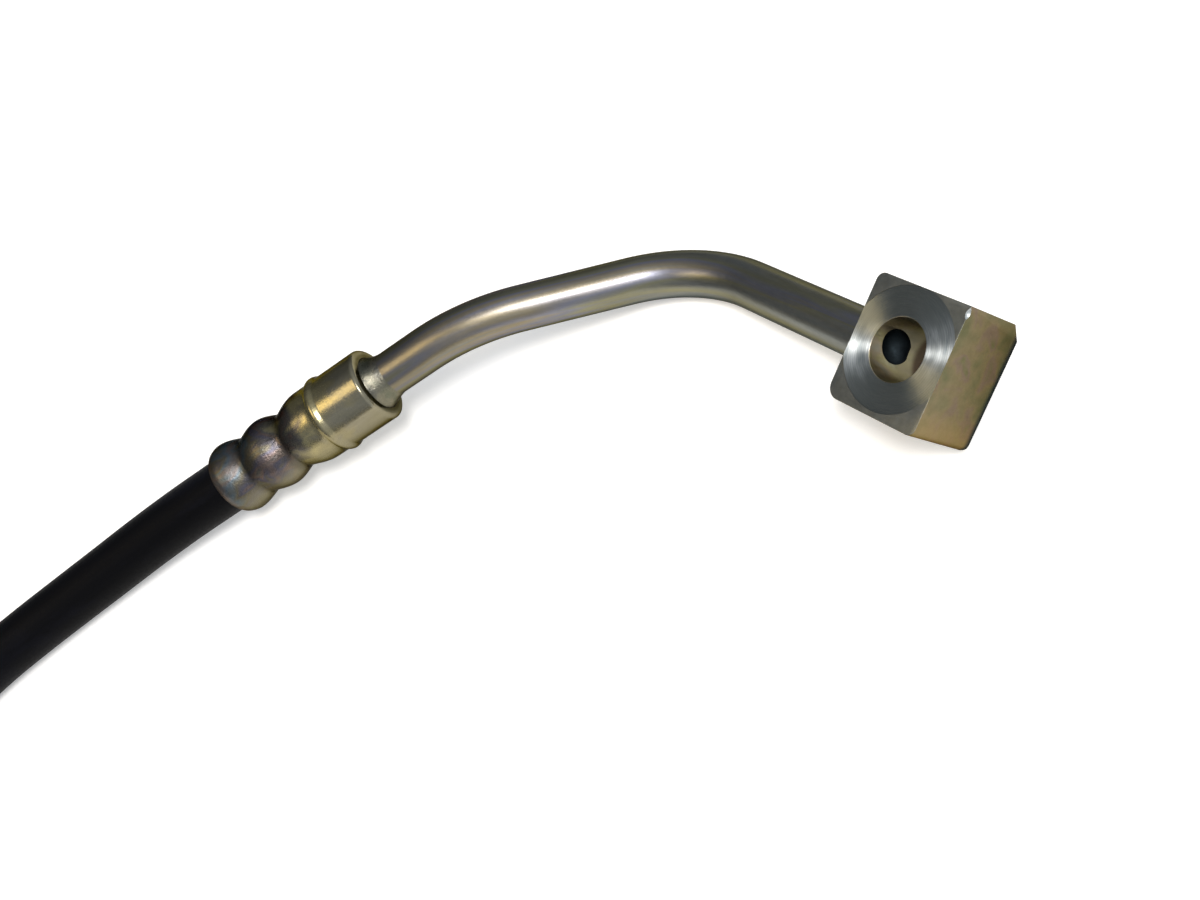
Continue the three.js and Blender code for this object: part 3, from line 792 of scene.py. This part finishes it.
def makeShell(name, matrix, end):
    # the crimped stretch runs on into its end: a barrel with a bead, or a plain web
    start, wall = crimp["length"], crimp["wall"]
    full, bead = start + end["length"], start + end["beadAt"]
    outside = crimpOutside(crimp)
    outside += [(end["radius"] + out, bead + along) for out, along in end["beadOutline"]]
    rim = end["endRound"]
    for k in range(quarterSteps + 1):
        turn = math.pi / 2 * k / quarterSteps
        outside.append((end["radius"] - rim * (1 - math.cos(turn)),
                        full - rim * (1 - math.sin(turn))))
    inside = [(end["bore"], full), (end["bore"], start), (crimp["rings"][-1][1] - wall, start)]
    for at, radius in sorted([*crimp["rings"], *crimp["valleys"]], reverse=True):
        inside.append((radius - wall, at))
    inside.append((crimp["mouth"] - wall, crimp["mouthAt"]))
    mesh = revolved(name, [*outside, *inside], 128, warp=dieMarks(crimp, end["heavySide"]))
    finishMesh(mesh, matrix, [crimpedPlate])
    return addObject(name, mesh)


def filletRing(name, spread, matrix):
    # the braze drawn up round the pipe, a little lumpy; it starts below the face it stands on
    wide, tall = spread
    radius, hollow = pipe["diameter"] / 2, braze["hollow"]

    def lumps(r, along, angle):
        share = min(1, max(0, (r - radius) / wide))
        waves = math.sin(3 * angle + 0.6) + 0.6 * math.sin(7 * angle)
        return r + braze["lump"] * share * (1 - share) * waves
    profile = [(radius - braze["overlap"], -braze["below"]), (radius + wide, -braze["below"])]
    for k in range(quarterSteps + 1):
        share = k / quarterSteps
        turn = math.pi / 2 * share
        out = hollow * (1 - math.sin(turn)) + (1 - hollow) * (1 - share)
        up = hollow * (1 - math.cos(turn)) + (1 - hollow) * share
        profile.append((radius + wide * out, tall * up))
    mesh = revolved(name, profile, warp=lumps)
    finishMesh(mesh, matrix, [brazeMetal])
    return addObject(name, mesh)


def joined(main, added):
    # one piece of the two, in which the added one keeps its own material
    bm = bmesh.new()
    bm.from_mesh(main.data)
    before = len(bm.faces)
    bm.from_mesh(added.data)
    main.data.materials.append(added.data.materials[0])
    bm.faces.ensure_lookup_table()
    for face in bm.faces[before:]:
        face.material_index = len(main.data.materials) - 1
    bm.to_mesh(main.data)
    bm.free()
    bpy.data.objects.remove(added)
    return main


frontShell = makeShell("frontShell", axesAlong(layout["ferruleMouth"], ferruleAxis), barrel)
frontEnd = layout["ferruleMouth"] + ferruleAxis * (crimp["length"] + barrel["length"])
frontFillet = filletRing("frontFillet", barrel["fillet"], axesAlong(frontEnd, ferruleAxis))
dress(joined(frontShell, frontFillet), "front_ferrule")
print("front ferrule made")

# the far end: the same shell with a web for its end, and the fitting that stands in it
rear = {
    "web": 4,
    "webBore": 4.3,
    "heavySide": 2.0,
    "gap": 0.3,
    "neck": 4.0,
    "neckLength": 3,
    "hex": 15,
    "hexLength": 9,
    "hexChamfer": (1.0, 0.6),
    "groove": 5.7,
    "grooveWidth": 2.2,
    "collar": 6.6,
    "collarLength": 5,
    "collarEdge": 0.2,
    "endChamfer": 0.6,
    "port": 4.5,
    "portDepth": 11,
    "threadFrom": 0.9,
    "threadShort": 3,  # the thread stops this far short of the port's floor
    "threadPitch": 1.0,
    "threadDepth": 0.35,
    "bore": 1.5,
    "seat": (0.4, 1.5),
}
rearAxes = axesAlong(rearMouth, rearAxis)
rearWeb = {**barrel, "length": rear["web"], "bore": rear["webBore"],
           "heavySide": rear["heavySide"], "beadOutline": []}
rearShell = makeShell("rearShell", rearAxes, rearWeb)
dress(rearShell, "rear_ferrule")


def makeRearFitting(sizes):
    start = crimp["length"] + sizes["web"] + sizes["gap"]
    hexEnd = start + sizes["hexLength"]
    collarStart = hexEnd + sizes["grooveWidth"]
    end = collarStart + sizes["collarLength"]
    stem, floor = start - sizes["neckLength"], end - sizes["portDepth"]
    corner = sizes["hex"] / math.sqrt(3)
    cut, slant = sizes["hexChamfer"]
    port, bore, edge, chamfer = (sizes[k] for k in ("port", "bore", "collarEdge", "endChamfer"))
    half = sizes["threadPitch"] / 2
    threads = []
    for k in range(int((sizes["portDepth"] - sizes["threadShort"]) / half)):
        at = end - sizes["threadFrom"] - k * half
        threads.append((port + (sizes["threadDepth"] if k % 2 else 0), at))
    seatWide, seatTall = sizes["seat"]
    body = revolved("rearFitting", [
        (bore, stem), (sizes["neck"], stem), (sizes["neck"], start),
        (corner - cut, start), (corner, start + slant), (corner, hexEnd - slant),
        (corner - cut, hexEnd), (sizes["groove"], hexEnd), (sizes["groove"], collarStart),
        (sizes["collar"] - edge, collarStart), (sizes["collar"], collarStart + edge),
        (sizes["collar"], end - chamfer), (sizes["collar"] - chamfer, end),
        (port + chamfer, end), (port, end - chamfer), *threads, (port, floor),
        (bore + seatWide, floor + seatTall), (bore, floor + seatTall)])
    piece = addObject("rearFitting", body)
    low, high = start - 6, end + 2  # both well past the fitting
    hexagon = revolved("hexagon", [(0, low), (corner, low), (corner, high), (0, high)], 6,
                       closed=False)
    hexagon.transform(Matrix.Rotation(math.pi / 6, 4, "Z"))
    carve(piece, addObject("hexagon", hexagon), "INTERSECT")
    finishMesh(piece.data, rearAxes, [barPlate])
    dress(piece, "rear_fitting")
    print("rear fitting made")
    return piece


rearFitting = makeRearFitting(rear)

# banjo block: local x along the pipe, y across it in the plane of the faces, z along the hole

block = {
    "length": 16.8,
    "height": 19.2,
    "thickness": 13.8,
    "corner": 2.0,
    "upperCorner": 1.3,
    "outerCorner": 1.2,
    "edge": 0.07,
    "rearEdge": 0.9,
    "chamfer": 2.7,
    "hole": 9.4,
    "holeRise": 0.4,
    "holeChamfer": 0.05,
    "faceRadius": 9.2,
    "rearFaceRadius": 7.8,
    "faceDepth": 0.05,
    "toolTaper": 0.3,
    "passage": 4.1,
    "passageStretch": 1.26,
    "passageAt": (3.7, 0.43, 1.07),
    "passageAim": (0.61, 0.04, 0.79),
    "passageLong": (-0.39, 0.91, 0.16),
    "bit": (-3.6, -2.4, 4),  # where the drill's tip, its full width and its end are
    "knock": 1.2,  # radius of the ball that would fit the dent
    "knockAway": 0.6,
    "knockBelow": 1.1,
    "fillet": (1.2, 1.2),
}
holeCentre = (block["length"] / 2, block["holeRise"], 0)
knockCentre = (block["length"] + block["knockAway"],
               block["height"] / 2 - block["knockBelow"],
               block["thickness"] / 2 + block["knockAway"])
# faced with a turning cutter: see turnedMaterial
turnedPlate = turnedMaterial("turnedPlate", turning, blockAxes @ Vector(metres(holeCentre)),
                             blockAxes.col[2].xyz)


def blockBody(sizes):
    length, height, thick = metres(sizes[k] for k in ("length", "height", "thickness"))
    right, top, back = length - tiny, height / 2 - tiny, -thick / 2 + tiny
    bm = bmesh.new()
    bmesh.ops.create_cube(bm, size=1)
    bmesh.ops.scale(bm, vec=(length, height, thick), verts=bm.verts)
    bmesh.ops.translate(bm, vec=(length / 2, 0, 0), verts=bm.verts)

    def edgesAt(test):
        return [e for e in bm.edges if all(test(v.co) for v in e.verts)]

    def rounded(edges, width, segments):
        bmesh.ops.bevel(bm, geom=edges, offset=width * mm, segments=segments, profile=0.5,
                        affect="EDGES", offset_type="OFFSET", clamp_overlap=True)
    rounded(edgesAt(lambda p: p.y > top and p.z < back), sizes["chamfer"], 1)
    rounded(edgesAt(lambda p: p.y < -top and p.x < tiny), sizes["corner"], 8)
    rounded(edgesAt(lambda p: p.y < -top and p.x > right), sizes["outerCorner"], 6)
    rounded(edgesAt(lambda p: p.y > top and p.x < tiny), sizes["upperCorner"], 6)
    rounded(edgesAt(lambda p: p.z < back), sizes["rearEdge"], 4)
    sharp = [e for e in bm.edges if e.calc_face_angle(0) > math.radians(30)]
    rounded(sharp, sizes["edge"], 3)
    mesh = bpy.data.meshes.new("banjoBlock")
    bm.to_mesh(mesh)
    bm.free()
    return addObject("banjoBlock", mesh)


def cutFaces(piece, sizes):
    # a turned spot face on each side, then the bolt hole; the tools reach past the block
    half, radius, chamfer = sizes["thickness"] / 2, sizes["hole"] / 2, sizes["holeChamfer"]
    deep = half - sizes["faceDepth"]
    inner = deep - chamfer - sizes["toolTaper"]
    toHole = Matrix.Translation(metres(holeCentre))
    flip = Matrix.Rotation(math.pi, 4, "X")
    for reach, moves in ((sizes["faceRadius"], [toHole]),
                         (sizes["rearFaceRadius"], [flip, toHole])):
        cutRound(piece, [(0, inner), (radius - sizes["toolTaper"], inner),
                         (radius + chamfer, deep), (reach, deep), (reach, half + 2),
                         (0, half + 2)], moves)
    cutRound(piece, [(0, -half - 1), (radius, -half - 1), (radius, half + 1), (0, half + 1)],
             [toHole])


def cutPassage(piece, sizes):
    # the passage to the pipe, drilled in at a slant through the hole
    drill = axesAlong(Vector(sizes["passageAt"]), Vector(sizes["passageAim"]).normalized(),
                      Vector(sizes["passageLong"]))
    oval = Matrix.Diagonal((sizes["passageStretch"], 1, 1, 1))
    radius = sizes["passage"] / 2
    tip, shoulder, end = sizes["bit"]
    cutRound(piece, [(0, tip), (radius, shoulder), (radius, end), (0, end)], [drill @ oval], 64)


def strikeKnock(piece, sizes):
    # a knock on the ridge, near its upper end
    bm = bmesh.new()
    bmesh.ops.create_icosphere(bm, subdivisions=4, radius=sizes["knock"] * mm)
    bmesh.ops.translate(bm, vec=Vector(knockCentre) * mm, verts=bm.verts)
    dent = bpy.data.meshes.new("knock")
    bm.to_mesh(dent)
    bm.free()
    carve(piece, addObject("knock", dent))


def finishOf(face, mesh, sizes):
    # each face takes the finish of how it was cut, told by where it lies
    half, radius = sizes["thickness"] / 2, sizes["hole"] / 2
    deep, level, slack = half - sizes["faceDepth"], 0.01, 0.02
    x, y, z = (c / mm for c in face.center)
    reach = math.hypot(x - holeCentre[0], y - holeCentre[1])
    corners = [mesh.vertices[v].co for v in face.vertices]
    spread = max(math.hypot(corner.x / mm - holeCentre[0], corner.y / mm - holeCentre[1])
                 for corner in corners)
    if abs(abs(z) - deep) < level and spread < sizes["faceRadius"] + slack:
        return turnedPlate
    # the passage lies in this box, outside the hole
    if 0.2 < x < 5 and abs(y) < 4 and abs(z) < 6 and reach > radius + slack:
        return paintedShadeSteel
    if reach < radius + sizes["holeChamfer"] + slack and abs(z) < deep - level:
        return drilledPlate
    if math.dist((x, y, z), knockCentre) < sizes["knock"] + slack:
        return bareSteel
    return milledPlate if abs(z) > half - level else sawnPlate


def makeBlock(sizes):
    piece = blockBody(sizes)
    cutFaces(piece, sizes)
    cutPassage(piece, sizes)
    strikeKnock(piece, sizes)
    mesh = piece.data
    finishes = [sawnPlate, turnedPlate, drilledPlate, milledPlate, paintedShadeSteel, bareSteel]
    for face in mesh.polygons:
        face.material_index = finishes.index(finishOf(face, mesh, sizes))
    finishMesh(mesh, blockAxes, finishes, metres(holeCentre))
    fillet = filletRing("blockFillet", sizes["fillet"],
                        axesAlong(layout["blockEntry"], -blockAxis))
    dress(joined(piece, fillet), "banjo_block")
    print("block made")


makeBlock(block)

# the hidden insert keeps its own solid
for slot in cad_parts["front_insert"].material_slots:
    slot.material = paintedShadeSteel

# floor, light and surroundings

studio = {
    "floor": "#f6f3ea",
    "floorSize": 3000,
    "floorGlow": 0.32,
    "worldToward": (0.65, -0.55, 0.52),  # the side that the room's light comes from
    "worldTones": [(0.0, "#747880"), (0.57, "#b2b8c6"), (1.0, "#eaf0fa")],
    "worldSpan": (-0.3, 0.75),  # the tones run from far on the other side to near this one
}
lamps = [
    # direction, distance, width, height, radiance, colour
    ((0.22, -0.385, 0.897), 700, 180, 230, 28.0, "#fbfaff"),
    ((-0.55, -0.15, 0.82), 700, 280, 220, 4.3, "#ffe6b2"),
]


def makeFloor(look):
    bm = bmesh.new()
    bmesh.ops.create_grid(bm, x_segments=1, y_segments=1, size=look["floorSize"] * mm)
    mesh = bpy.data.meshes.new("floor")
    bm.to_mesh(mesh)
    bm.free()
    floor = addObject("floor", mesh)
    # painted board: matt, and as light to the camera and in the metal as in the room
    material, tree = newMaterial("paintedBoard")
    rays = addNode(tree, "ShaderNodeLightPath")
    seen = addNode(tree, "ShaderNodeMath", {0: rays.outputs["Is Camera Ray"],
                                            1: rays.outputs["Is Glossy Ray"]},
                   operation="MAXIMUM")
    seen = addNode(tree, "ShaderNodeMath", {0: seen, 1: rays.outputs["Is Transmission Ray"]},
                   operation="MAXIMUM")
    glow = addNode(tree, "ShaderNodeMath", {0: seen, 1: look["floorGlow"]},
                   operation="MULTIPLY")
    shader = addNode(tree, "ShaderNodeBsdfPrincipled", {
        "Base Color": linear(look["floor"]), "Roughness": 0.8, "Specular IOR Level": 0.1,
        "Emission Color": (1, 1, 1, 1), "Emission Strength": glow})
    addNode(tree, "ShaderNodeOutputMaterial", {"Surface": shader})
    mesh.materials.append(material)


def makeWorld(look):
    # a room that is lighter on one side than on the other
    world = bpy.data.worlds.new("studio")
    bpy.context.scene.world = world
    world.use_nodes = True
    tree = world.node_tree
    background = tree.nodes["Background"]
    toward = Vector(look["worldToward"]).normalized()
    facing = addNode(tree, "ShaderNodeVectorMath", {
        0: addNode(tree, "ShaderNodeTexCoord"), 1: tuple(toward)}, operation="DOT_PRODUCT")
    low, high = look["worldSpan"]
    share = addNode(tree, "ShaderNodeMapRange", {0: facing, 1: low, 2: high})
    shade = addNode(tree, "ShaderNodeValToRGB", {0: share}, stops=look["worldTones"])
    tree.links.new(shade.outputs[0], background.inputs[0])


def makeLamps(entries):
    for i, (toward, distance, width, height, radiance, colour) in enumerate(entries):
        data = bpy.data.lights.new(f"softLight{i}", "AREA")
        data.shape, data.size, data.size_y = "RECTANGLE", width * mm, height * mm
        data.energy = radiance * math.pi * width * height * mm * mm
        data.color = linear(colour)[:3]
        lamp = addObject(f"softLight{i}", data)
        direction = Vector(toward).normalized()
        lamp.location = direction * distance * mm
        lamp.rotation_euler = direction.to_track_quat("Z", "Y").to_euler()


makeFloor(studio)
makeWorld(studio)
makeLamps(lamps)
bpy.context.scene.view_settings.view_transform = "Standard"
print("studio made")
